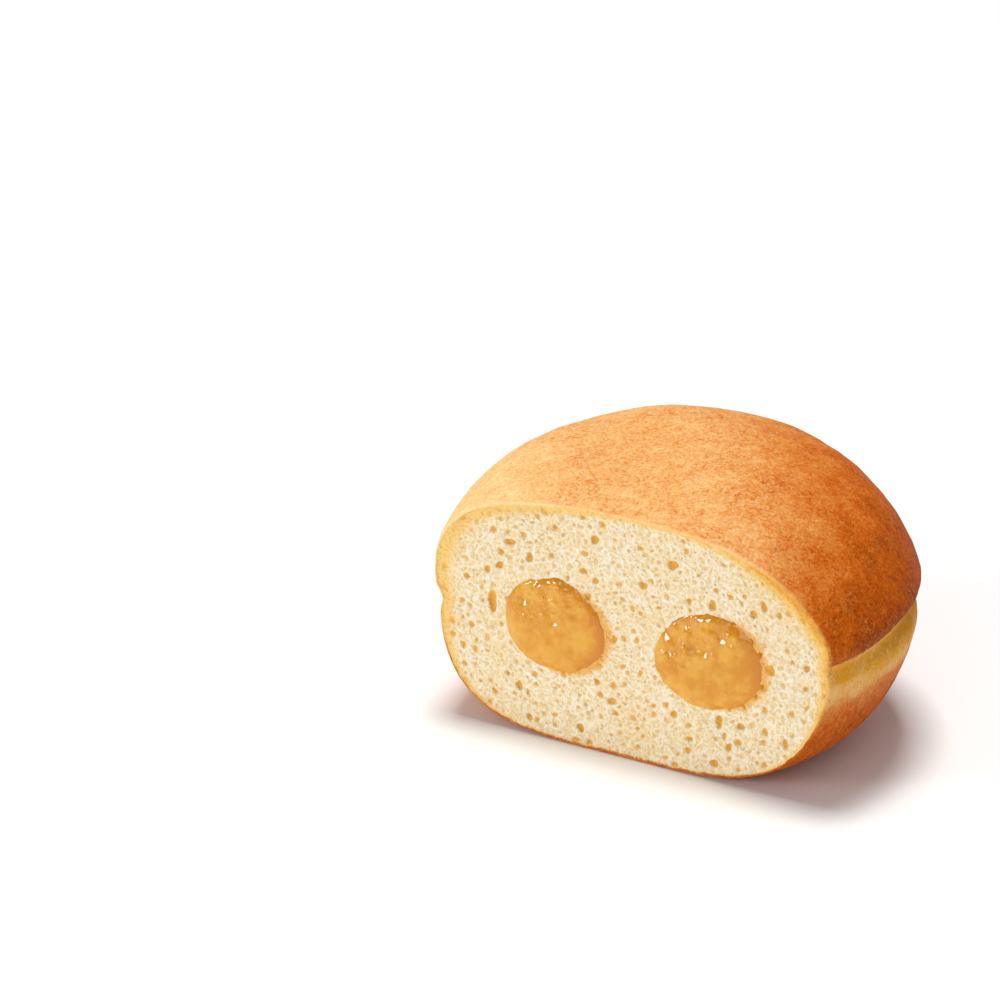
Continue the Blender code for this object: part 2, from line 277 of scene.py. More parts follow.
@dataclass(frozen=True)
class DoughForm:
    """Form of the whole doughnut's skin, before the cut, round its own axis."""

    outer_radius: float = 43.0 * MM
    dome_height: float = 46.6 * MM
    waist_level: float = 25.3 * MM
    outline_wave_cos: float = -0.026
    outline_wave_sin: float = -0.022
    waist_tilt_x: float = 3.4 * MM
    waist_tilt_y: float = 2.1 * MM
    dome_slope_x: float = 0.037
    dome_slope_y: float = 0.15
    dome_lean_x: float = -6.8 * MM
    dome_lean_y: float = -2.2 * MM
    base_lean_x: float = -1.75 * MM
    base_lean_y: float = 0.6 * MM
    base_taper_x: float = 0.013
    base_taper_reach: float = 4.0 * MM
    upper_radius_power: float = 3.7
    upper_height_power: float = 1.84
    lower_radius_power: float = 4.76
    lower_height_power: float = 2.16
    crease_level: float = 23.4 * MM
    crease_tilt_x: float = 2.0 * MM
    crease_depth: float = 2.0 * MM
    crease_depth_at_cut: float = 0.6 * MM
    crease_half_height: float = 1.8 * MM
    crease_fade_turn: float = math.radians(22.0)
    back_azimuth: float = math.radians(90.0)
    cut_end_turn: float = math.radians(114.0)
    swell_height: float = 0.22 * MM
    swell_length_x: float = 38.0 * MM
    swell_length_y: float = 33.0 * MM
    swell_shift: float = 1.1
    swell_slant_share: float = 0.5
    flat_spot_sink: float = 0.35 * MM

    def waist_height(self, azimuth: np.ndarray) -> np.ndarray:
        """Height of the widest part, a little higher on the right and at the back."""
        tilt = self.waist_tilt_x * np.cos(azimuth) + self.waist_tilt_y * np.sin(azimuth)
        return self.waist_level + tilt

    def crease_height(self, azimuth: np.ndarray) -> np.ndarray:
        """Height of the crease, a little higher on the right."""
        return self.crease_level + self.crease_tilt_x * np.cos(azimuth)

    def crease_groove(self, azimuth: np.ndarray, height: np.ndarray) -> np.ndarray:
        """How far the crease draws the skin in: a bell in height, shallow at the ends of the cut.

        Args:
            azimuth: Turn round the axis.
            height: Height above the base.

        Returns:
            Distance inwards at each place.
        """
        turn = np.abs(turn_from(self.back_azimuth, azimuth))
        to_end = np.maximum(self.cut_end_turn - turn, 0.0)
        fade = bell(to_end, self.crease_fade_turn)
        depth = self.crease_depth - (self.crease_depth - self.crease_depth_at_cut) * fade
        return depth * bell(height - self.crease_height(azimuth), self.crease_half_height)

    def swell(self, x: np.ndarray, y: np.ndarray) -> np.ndarray:
        """Soft swells of the dome: crossed long waves and one slanting wave.

        Args:
            x: Places along X, round the doughnut's axis.
            y: Places along Y, round the doughnut's axis.

        Returns:
            Height added at each place.
        """
        turn_x = FULL_TURN * x / self.swell_length_x
        turn_y = FULL_TURN * y / self.swell_length_y
        crossed = np.sin(turn_x + self.swell_shift) * np.sin(turn_y)
        return self.swell_height * (crossed + self.swell_slant_share * np.sin(turn_x + turn_y))

    def surface(self, azimuth: np.ndarray, latitude: np.ndarray) -> np.ndarray:
        """Points of the skin: superellipse quarters above and below the waist, leaning and creased.

        Args:
            azimuth: Turn round the axis.
            latitude: From -90 degrees under the base to +90 degrees on top.

        Returns:
            Places, one row each, round the doughnut's own axis.
        """
        cosine = np.cos(latitude)
        rise = np.abs(np.sin(latitude))
        upper = latitude >= 0.0
        waist = self.waist_height(azimuth)
        wave = self.outline_wave_cos * np.cos(2.0 * azimuth)
        wave += self.outline_wave_sin * np.sin(2.0 * azimuth)
        outline = self.outer_radius * (1.0 + wave)
        reach_up = powered(cosine, 2.0 / self.upper_radius_power)
        climb_up = powered(rise, 2.0 / self.upper_height_power)
        slope = self.dome_slope_x * np.cos(azimuth) + self.dome_slope_y * np.sin(azimuth)
        height_up = waist + (self.dome_height + reach_up * outline * slope - waist) * climb_up
        reach_down = powered(cosine, 2.0 / self.lower_radius_power)
        drop = powered(rise, 2.0 / self.lower_height_power)
        height_down = waist - (waist + self.flat_spot_sink) * drop
        fall = 1.0 - np.exp(-(waist - height_down) / self.base_taper_reach)
        taper = self.base_taper_x * np.cos(azimuth) * fall
        height = np.where(upper, height_up, height_down)
        radius = outline * np.where(upper, reach_up, reach_down * (1.0 + taper))
        radius = radius - self.crease_groove(azimuth, height)
        lean_x = np.where(upper, self.dome_lean_x * climb_up, self.base_lean_x * drop)
        lean_y = np.where(upper, self.dome_lean_y * climb_up, self.base_lean_y * drop)
        x = radius * np.cos(azimuth) + lean_x
        y = radius * np.sin(azimuth) + lean_y
        height = height + np.where(upper, self.swell(x, y) * climb_up, 0.0)
        return np.stack([x, y, height], axis=-1)

    def even_latitude(self, radius: np.ndarray, half: np.ndarray) -> np.ndarray:
        """Latitude at which a ring lies when the rings are spaced evenly along the profile.

        Args:
            radius: From 0 at the pole to 1 at the waist.
            half: 1 above the waist and -1 below it.

        Returns:
            Latitude of each point.
        """
        crowded = np.linspace(0.0, 1.0, 4001) ** 3
        fine = 0.5 * math.pi * (1.0 - crowded)
        result = np.empty_like(radius)
        for side in (1.0, -1.0):
            profile = self.surface(np.zeros_like(fine), side * fine)
            run = np.concatenate([[0.0], np.cumsum(np.linalg.norm(np.diff(profile, axis=0), axis=1))])
            latitude = side * np.interp(radius, run / run[-1], fine)
            result = np.where(half == side, latitude, result)
        return result


@dataclass(frozen=True)
class LobeForm:
    """Form of one lobe of jelly: an uneven oval in the cut face and a blunt finger behind it."""

    centre: tuple[float, float]
    half_width: float
    half_height: float
    tilt: float
    wobble_turn: float
    bud: float = 0.0
    wobble: float = 0.012
    fine_share: float = 0.7
    bud_angle: float = math.radians(90.0)
    bud_half_angle: float = math.radians(9.0)
    reach: float = 36.0 * MM
    crown: float = 0.9 * MM
    power: float = 2.6

    def half_sizes(self, angle: np.ndarray, grow: float) -> tuple[np.ndarray, np.ndarray]:
        """Half width and half height of the oval at an angle, with three and five waves and a bud.

        Args:
            angle: Angle round the lobe's middle.
            grow: What is added on every side.

        Returns:
            Both half sizes at each angle.
        """
        waves = np.cos(3.0 * angle + self.wobble_turn)
        waves = waves + self.fine_share * np.cos(5.0 * angle - self.wobble_turn)
        bud = self.bud * bell(turn_from(self.bud_angle, angle), self.bud_half_angle)
        factor = 1.0 + self.wobble * waves
        return self.half_width * factor + grow + bud, self.half_height * factor + grow + bud

    def outline(self, angle: np.ndarray, grow: float) -> tuple[np.ndarray, np.ndarray]:
        """Offsets along X and Z from the lobe's centre to its tilted, uneven oval.

        Args:
            angle: Angle round the lobe's middle.
            grow: What is added on every side.

        Returns:
            Both offsets at each angle.
        """
        wide, tall = self.half_sizes(angle, grow)
        wide, tall = wide * np.cos(angle), tall * np.sin(angle)
        cosine, sine = math.cos(self.tilt), math.sin(self.tilt)
        return wide * cosine - tall * sine, wide * sine + tall * cosine

    def place_in(self, x: np.ndarray, z: np.ndarray, grow: float) -> tuple[np.ndarray, np.ndarray]:
        """Share of the way out to the oval (1 on it) and angle, for places in the cut face.

        Args:
            x: Places along X, round the doughnut's axis.
            z: Places along Z.
            grow: What is added to the oval on every side.

        Returns:
            Share and angle of each place.
        """
        cosine, sine = math.cos(self.tilt), math.sin(self.tilt)
        dx, dz = x - self.centre[0], z - self.centre[1]
        wide, tall = dx * cosine + dz * sine, -dx * sine + dz * cosine
        angle = np.arctan2(tall / self.half_height, wide / self.half_width)
        half_width, half_height = self.half_sizes(angle, grow)
        return np.hypot(wide / half_width, tall / half_height), angle


@dataclass(frozen=True)
class Cut:
    """Where the doughnut is cut, and how its own axis stands in the part's frame."""

    offset: float = 17.5 * MM
    centre: tuple[float, float] = (0.6 * MM, 22.5 * MM)
    shift: tuple[float, float] = (0.0, 0.0)

    @property
    def face(self) -> float:
        """Y of the cut face in the part's frame."""
        return self.shift[1] - self.offset

    @property
    def middle(self) -> float:
        """X of the middle of the cut face in the part's frame."""
        return self.centre[0] + self.shift[0]

    def to_part(self, points: np.ndarray) -> np.ndarray:
        """Places in the part's frame from places round the doughnut's axis."""
        return points + np.array([*self.shift, 0.0])

    def to_axis(self, points: np.ndarray) -> np.ndarray:
        """Places round the doughnut's axis from places in the part's frame."""
        return points - np.array([*self.shift, 0.0])

    @classmethod
    def fitted(cls, form: DoughForm) -> "Cut":
        """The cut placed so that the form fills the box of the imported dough.

        Args:
            form: The skin's form.

        Returns:
            The cut, with the shift from the doughnut's axis to the part's origin.
        """
        low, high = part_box("dough")
        turns = np.linspace(0.0, FULL_TURN, 361)
        azimuth, latitude = np.meshgrid(turns, np.linspace(-0.5, 0.9, 141))
        points = form.surface(azimuth.ravel(), latitude.ravel())
        kept = points[points[:, 1] > -cls.offset]
        middle = 0.5 * (kept[:, 0].min() + kept[:, 0].max())
        return cls(shift=(0.5 * (low.x + high.x) - middle, low.y + cls.offset))


class Wire:
    """A node's output that takes part in sums, so that shader maths reads as an expression."""

    def __init__(self, recipe: "Recipe", socket: bpy.types.NodeSocket) -> None:
        """Wrap one output socket of a recipe."""
        self.recipe = recipe
        self.socket = socket

    def _math(self, operation: str, first: object, second: object) -> "Wire":
        """Add a Math node for two values, each a wire or a number."""
        made = self.recipe.node("ShaderNodeMath", {"operation": operation}, {0: first, 1: second})
        return Wire(self.recipe, made.outputs[0])

    def __add__(self, other: object) -> "Wire":
        """Sum."""
        return self._math("ADD", self, other)

    def __radd__(self, other: object) -> "Wire":
        """Sum with the number first."""
        return self._math("ADD", other, self)

    def __sub__(self, other: object) -> "Wire":
        """Difference."""
        return self._math("SUBTRACT", self, other)

    def __rsub__(self, other: object) -> "Wire":
        """Difference with the number first."""
        return self._math("SUBTRACT", other, self)

    def __mul__(self, other: object) -> "Wire":
        """Product."""
        return self._math("MULTIPLY", self, other)

    def __rmul__(self, other: object) -> "Wire":
        """Product with the number first."""
        return self._math("MULTIPLY", other, self)

    def __abs__(self) -> "Wire":
        """Size without its sign."""
        return self._math("ABSOLUTE", self, 0.0)


class Recipe:
    """Node tree of one material, with its Principled shader."""

    def __init__(self, name: str) -> None:
        """Start a material with an empty tree but for its shader and output.

        Args:
            name: Name of the material.
        """
        self.material = bpy.data.materials.new(name)
        self.material.use_nodes = True
        self.tree = self.material.node_tree
        self.shader = self.tree.nodes["Principled BSDF"]
        self.place = Wire(self, self.node("ShaderNodeTexCoord").outputs["Object"])

    def node(
        self, kind: str, settings: dict | None = None, sockets: dict | None = None
    ) -> bpy.types.Node:
        """Add a node.

        Args:
            kind: Blender's type name.
            settings: Properties to set first; "stops" gives a ramp's places and colours.
            sockets: Inputs by name or number, each a wire or a value.

        Returns:
            The node.
        """
        made = self.tree.nodes.new(kind)
        for name, value in (settings or {}).items():
            if name == "stops":
                self._set_stops(made.color_ramp, value)
            else:
                setattr(made, name, value)
        for name, value in (sockets or {}).items():
            if isinstance(value, Wire):
                self.tree.links.new(value.socket, made.inputs[name])
            else:
                made.inputs[name].default_value = value
        return made

    @staticmethod
    def _set_stops(ramp: bpy.types.ColorRamp, stops: tuple) -> None:
        """Give a ramp its stops, each a place from 0 to 1 and a colour."""
        while len(ramp.elements) < len(stops):
            ramp.elements.new(1.0)
        for element, (place, colour) in zip(ramp.elements, stops):
            element.position = place
            element.color = (*colour, 1.0)

    def layer(self, layer: Layer) -> Wire:
        """Value of an attribute of the piece."""
        made = self.node("ShaderNodeAttribute", {"attribute_name": layer.value})
        return Wire(self, made.outputs["Fac"])

    def noise(self, size: float, detail: float = 2.0, roughness: float = 0.5) -> Wire:
        """Soft noise from 0 to 1 whose features are about the given size across."""
        sockets = {"Vector": self.place, "Scale": 1.0 / size, "Detail": detail, "Roughness": roughness}
        return Wire(self, self.node("ShaderNodeTexNoise", {}, sockets).outputs["Fac"])

    def grain(self, size: float, detail: float = 2.0, roughness: float = 0.5) -> Wire:
        """Soft noise spread out to about -1 to 1."""
        return 3.2 * (self.noise(size, detail, roughness) - 0.5)

    def ridges(self, size: float, detail: float = 2.0, roughness: float = 0.5) -> Wire:
        """Fine winding ridges, 1 on their crests: noise folded at its middle value."""
        return 1.0 - abs(2.0 * self.noise(size, detail, roughness) - 1.0)

    def bent(self, size: float, reach: float) -> Wire:
        """Place, shifted by soft noise of the given size and by about the given reach.

        Args:
            size: Size of the noise's features.
            reach: About how far a place moves.

        Returns:
            The shifted place.
        """
        sockets = {"Vector": self.place, "Scale": 1.0 / size, "Detail": 2.0}
        shift = Wire(self, self.node("ShaderNodeTexNoise", {}, sockets).outputs["Color"])
        sockets = {0: shift, 1: (4.0 * reach,) * 3, 2: self.place}
        made = self.node("ShaderNodeVectorMath", {"operation": "MULTIPLY_ADD"}, sockets)
        return Wire(self, made.outputs["Vector"])

    def cells(self, size: float, place: Wire | None = None, feature: str = "F1") -> Wire:
        """Distance to the nearest of scattered points about the given size apart, 0 to about 1.

        Args:
            size: Distance between the points.
            place: Where the pattern is read, if not at the plain place.
            feature: Blender's name for the distance that is taken.

        Returns:
            The distance.
        """
        sockets = {"Vector": place or self.place, "Scale": 1.0 / size}
        made = self.node("ShaderNodeTexVoronoi", {"feature": feature}, sockets)
        return Wire(self, made.outputs["Distance"])

    def rise(self, value: Wire, low: float, high: float) -> Wire:
        """Smooth step of a value from 0 at low to 1 at high.

        Args:
            value: The value.
            low: Value that gives 0.
            high: Value that gives 1.

        Returns:
            The smooth step.
        """
        settings = {"interpolation_type": "SMOOTHSTEP"}
        sockets = {"Value": value, "From Min": low, "From Max": high}
        made = self.node("ShaderNodeMapRange", settings, sockets)
        return Wire(self, made.outputs["Result"])

    def blend(self, factor: object, first: object, second: object) -> Wire:
        """Mix two colours, each a wire or three numbers.

        Args:
            factor: Share of the second colour, a wire or a number.
            first: Colour at a factor of 0.
            second: Colour at a factor of 1.

        Returns:
            The mixed colour.
        """
        sockets = {0: factor}
        for number, colour in ((6, first), (7, second)):
            sockets[number] = colour if isinstance(colour, Wire) else (*colour, 1.0)
        made = self.node("ShaderNodeMix", {"data_type": "RGBA"}, sockets)
        return Wire(self, made.outputs[2])

    def ramp(self, factor: Wire, stops: tuple) -> Wire:
        """Colour of a ramp at a value."""
        made = self.node("ShaderNodeValToRGB", {"stops": stops}, {"Fac": factor})
        return Wire(self, made.outputs["Color"])

    def bump(self, height: Wire, depth: float) -> Wire:
        """Normal bent by a height, of which 1 stands for a relief of the given depth."""
        made = self.node("ShaderNodeBump", {}, {"Height": height, "Strength": 1.0, "Distance": depth})
        return Wire(self, made.outputs["Normal"])

    def dress(self, varying: dict, constant: dict) -> bpy.types.Material:
        """Link what varies to the shader and set what is the same all over.

        Args:
            varying: Wires by the shader's input name.
            constant: Values by the shader's input name.

        Returns:
            The finished material.
        """
        for name, value in varying.items():
            self.tree.links.new(value.socket, self.shader.inputs[name])
        for name, value in constant.items():
            self.shader.inputs[name].default_value = value
        return self.material


@dataclass(frozen=True)
class CrustFinish:
    """Fried crust: from pale gold to orange brown, partly its own browning and partly painted light and
    shade, mottled, with pale flecks and short wrinkles.

    Under the dome runs a pale band, yellow in the crease, and the lip at the cut is pale too: partly
    its own pale colour, lightened further as painted light on its camera-facing strip.
    """

    pale: tuple = (0.95, 0.67, 0.31)
    gold: tuple = (0.90, 0.50, 0.19)
    tan: tuple = (0.79, 0.29, 0.060)
    brown: tuple = (0.63, 0.125, 0.005)
    dark: tuple = (0.34, 0.050, 0.001)
    crease: tuple = (0.84, 0.36, 0.010)
    belly: tuple = (0.89, 0.44, 0.09)
    cream: tuple = (0.92, 0.58, 0.20)
    lip: tuple = (0.95, 0.53, 0.11)
    # lip_pale is partly the lip's own pale colour and partly painted light for its camera-facing strip,
    # which the lamps barely reach
    lip_pale: tuple = (1.00, 0.80, 0.42)
    fleck: tuple = (0.97, 0.67, 0.36)
    glow: tuple = (0.90, 0.40, 0.09)
    patch_size: float = 6.0 * MM
    mottle_size: float = 1.3 * MM
    crinkle_size: float = 1.7 * MM
    speck_size: float = 0.50 * MM
    fleck_size: float = 0.70 * MM
    wrinkle_size: float = 2.2 * MM
    relief_depth: float = 0.50 * MM

    def make(self) -> bpy.types.Material:
        """Build the material: the toasted skin, partly painted light and shade, then the band, the lip,
        the flecks and the wrinkles.

        Each layer of the form is multiplied by its noise, so that its colour stays where the form
        has it, and the grain is calmer where the skin is browned and where painted shade darkens it.

        Returns:
            The finished material.
        """
        recipe = Recipe("fried_crust")
        patches = recipe.grain(self.patch_size, 4.0, 0.6)
        mottle = recipe.grain(self.mottle_size, 4.0, 0.65)
        specks = recipe.grain(self.speck_size, 3.0, 0.7)
        crinkle = recipe.ridges(self.crinkle_size, 4.0, 0.6)
        # toast is partly real browning and partly painted shade on the side away from the lamps, with
        # painted light making the lit side paler
        base = recipe.layer(Layer.TOAST)
        browned = recipe.rise(base, 0.40, 0.75)
        fine = 0.17 * mottle + 0.32 * specks + 0.26 * (0.8 - crinkle)
        toast = base + 0.20 * patches + (1.0 - 0.40 * browned) * fine
        tones = (self.pale, self.gold, self.tan, self.brown, self.dark)
        colour = recipe.ramp(toast, tuple(zip((0.0, 0.25, 0.5, 0.75, 1.0), tones)))
        spots = recipe.rise(specks + 0.7 * mottle, 0.05, 0.60)
        uneven = 1.0 + 0.8 * mottle + 0.7 * specks

        band = recipe.layer(Layer.BAND)
        below = recipe.blend(recipe.rise(patches + 0.9 * mottle, -0.4, 0.5), self.belly, self.cream)
        below = recipe.blend(0.75 * spots, below, self.tan)
        in_crease = recipe.rise(band + 0.35 * mottle + 0.25 * specks, 0.60, 1.10)
        below = recipe.blend(in_crease, below, self.crease)
        colour = recipe.blend(recipe.rise(band * uneven, 0.08, 0.65), colour, below)

        lip = recipe.layer(Layer.LIP) * uneven
        toasted = recipe.rise(base + 0.3 * mottle + 0.3 * specks, 0.20, 0.75)
        # painted light: the pale lip colour lifts the shaded camera-facing strip of the lip
        edge = recipe.blend(toasted, self.lip_pale, self.lip)
        edge = recipe.blend(0.40 * spots, edge, self.gold)
        colour = recipe.blend(0.80 * recipe.rise(lip, 0.20, 1.1), colour, edge)

        flecks = recipe.rise(recipe.grain(self.fleck_size, 3.0, 0.65), 0.15, 0.65)
        wrinkles = recipe.rise(recipe.ridges(self.wrinkle_size, 3.0, 0.6), 0.945, 0.99)
        wrinkles = wrinkles * recipe.rise(patches, -0.15, 0.35)
        light = recipe.blend(browned, self.fleck, self.glow)
        colour = recipe.blend((0.44 - 0.27 * browned) * flecks, colour, light)
        colour = recipe.blend((0.62 - 0.32 * browned) * wrinkles, colour, light)
        relief = recipe.bump(0.12 * crinkle + 0.16 * specks + 0.32 * mottle, self.relief_depth)
        return recipe.dress(
            {"Base Color": colour, "Roughness": 0.55 + 0.10 * mottle, "Normal": relief},
            {"Specular IOR Level": 0.0, "Coat Weight": 0.15, "Coat Roughness": 0.35},
        )


@dataclass(frozen=True)
class CrumbFinish:
    """Crumb: dry and cream on its lacy walls, golden in its pores as painted shade and glow, and golden
    near the crust.

    It is amber where jelly has soaked it.
    """

    cream: tuple = (0.99, 0.87, 0.69)
    # inner, shade and hollow are painted shade and glow for the insides of the pores
    inner: tuple = (0.94, 0.73, 0.42)
    shade: tuple = (0.86, 0.60, 0.22)
    hollow: tuple = (0.79, 0.41, 0.070)
    shell: tuple = (0.97, 0.61, 0.175)
    deep: tuple = (0.88, 0.38, 0.035)
    crust: tuple = (0.62, 0.20, 0.055)
    soaked: tuple = (0.88, 0.45, 0.075)
    net_size: float = 1.15 * MM
    lace_size: float = 0.85 * MM
    small_size: float = 0.42 * MM
    grain_size: float = 0.24 * MM
    bend_size: float = 0.90 * MM
    bend_reach: float = 0.30 * MM
    cluster_size: float = 1.6 * MM
    drift_size: float = 3.5 * MM
    tone_size: float = 8.0 * MM
    relief_depth: float = 0.22 * MM
    glow_depth: float = 0.30 * MM

    def make(self) -> bpy.types.Material:
        """Build the material: a bent net of walls with lace and small pores, then the form's layers.

        Returns:
            The finished material.
        """
        recipe = Recipe("open_crumb")
        drift = recipe.grain(self.drift_size, 3.0, 0.6)
        grain = recipe.grain(self.grain_size, 2.0, 0.6)
        bent = recipe.bent(self.bend_size, self.bend_reach)
        to_wall = recipe.cells(self.net_size, bent, "DISTANCE_TO_EDGE")
        walls = 1.0 - recipe.rise(to_wall, 0.03, 0.24)
        lace = 1.0 - recipe.rise(recipe.cells(self.lace_size, bent) + 0.12 * grain, 0.12, 0.55)
        lace = lace * recipe.rise(recipe.grain(self.cluster_size, 2.0), -0.6, 0.3)
        small = 1.0 - recipe.rise(recipe.cells(self.small_size) + 0.12 * grain, 0.10, 0.60)
        pore = recipe.layer(Layer.PORE)
        net = recipe.rise(walls + 0.5 * drift + 0.25 * grain, 0.0, 0.9)
        # Painted shade and glow: the insides of the net's cells, the lace and the small pores are
        # darker gold than the walls.
        colour = recipe.blend(net, self.inner, self.cream)
        colour = recipe.blend(0.60 * lace + 0.30 * small, colour, self.shade)
        tone = recipe.rise(recipe.grain(self.tone_size, 2.0), -0.3, 0.7)
        colour = recipe.blend(0.18 * tone, colour, self.shade)
        # Painted shade and glow: the deeper a pore, the darker gold it is painted.
        colour = recipe.blend(recipe.rise(pore + 0.22 * grain, 0.0, 1.05), colour, self.hollow)
        soak = recipe.layer(Layer.SOAK) + 0.22 * drift + 0.25 * pore + 0.20 * grain
        colour = recipe.blend(0.9 * recipe.rise(soak, 0.25, 0.95), colour, self.soaked)
        rim = recipe.layer(Layer.RIM) + 0.20 * drift + 0.14 * grain + 0.15 * pore
        colour = recipe.blend(0.9 * recipe.rise(rim, 0.05, 0.85), colour, self.shell)
        colour = recipe.blend(0.9 * recipe.rise(rim, 0.85, 1.35), colour, self.deep)
        brown = recipe.layer(Layer.TOAST) * (1.1 + 0.9 * grain + 0.7 * drift)
        colour = recipe.blend(recipe.rise(brown, 0.30, 1.0), colour, self.crust)
        height = 0.12 * grain + 0.30 * walls - 0.45 * lace - 0.25 * small
        return recipe.dress(
            {"Base Color": colour, "Normal": recipe.bump(height, self.relief_depth)},
            {
                "Roughness": 0.9,
                "Subsurface Weight": 0.35,
                "Subsurface Radius": (1.0, 0.85, 0.65),
                "Subsurface Scale": self.glow_depth,
                "Specular IOR Level": 0.10,
            },
        )


@dataclass(frozen=True)
class JellyFinish:
    """Wet amber jelly: cloudy gold in places, deeper orange towards its far rims as painted shade, and
    glossy.

    Its wet side has pale bubbles and stronger ripples.
    """

    cloudy: tuple = (0.79, 0.40, 0.030)
    amber: tuple = (0.70, 0.275, 0.001)
    deep: tuple = (0.66, 0.235, 0.000)
    pale: tuple = (0.86, 0.50, 0.10)
    cloud_size: float = 5.0 * MM
    wisp_size: float = 1.4 * MM
    bubble_size: float = 0.75 * MM
    ripple_size: float = 1.5 * MM
    relief_depth: float = 0.50 * MM
    glow_depth: float = 1.5 * MM

    def make(self) -> bpy.types.Material:
        """Build the material.

        Returns:
            The finished material.
        """
        recipe = Recipe("amber_jelly")
        clouds = recipe.grain(self.cloud_size, 4.0, 0.6)
        wisps = recipe.grain(self.wisp_size, 3.0, 0.6)
        bubbles = 1.0 - recipe.rise(recipe.cells(self.bubble_size), 0.15, 0.42)
        colour = recipe.blend(recipe.rise(clouds + 0.40 * wisps, -0.45, 0.45), self.cloudy, self.amber)
        # painted shade: the deep amber darkens the upper right and the rims of each lobe, as if it were
        # shaded by its dome and the crumb's edge
        rim_shade = recipe.layer(Layer.RIM_SHADE) + 0.30 * clouds + 0.25 * wisps
        colour = recipe.blend(recipe.rise(rim_shade, 0.15, 0.95), colour, self.deep)
        wet = recipe.layer(Layer.WET)
        colour = recipe.blend(0.40 * bubbles * wet, colour, self.pale)
        ripples = recipe.grain(self.ripple_size, 0.0)
        relief = recipe.bump((0.05 + 0.15 * wet) * ripples, self.relief_depth)
        return recipe.dress(
            {"Base Color": colour, "Normal": relief},
            {
                "Roughness": 0.06,
                "Subsurface Weight": 0.30,
                "Subsurface Radius": (1.0, 0.45, 0.06),
                "Subsurface Scale": self.glow_depth,
                "Specular IOR Level": 0.8,
                "IOR": 1.42,
            },
        )


@dataclass(frozen=True)
class FloorFinish:
    """Plain, matt, near-white table top."""

    white: tuple = (0.93, 0.93, 0.93)
    shade: tuple = (0.90, 0.90, 0.90)
    cloud_size: float = 80.0 * MM

    def make(self) -> bpy.types.Material:
        """Build the material.

        Returns:
            The finished material.
        """
        recipe = Recipe("plain_floor")
        colour = recipe.blend(recipe.noise(self.cloud_size, 2.0), self.white, self.shade)
        return recipe.dress({"Base Color": colour}, {"Roughness": 0.75})


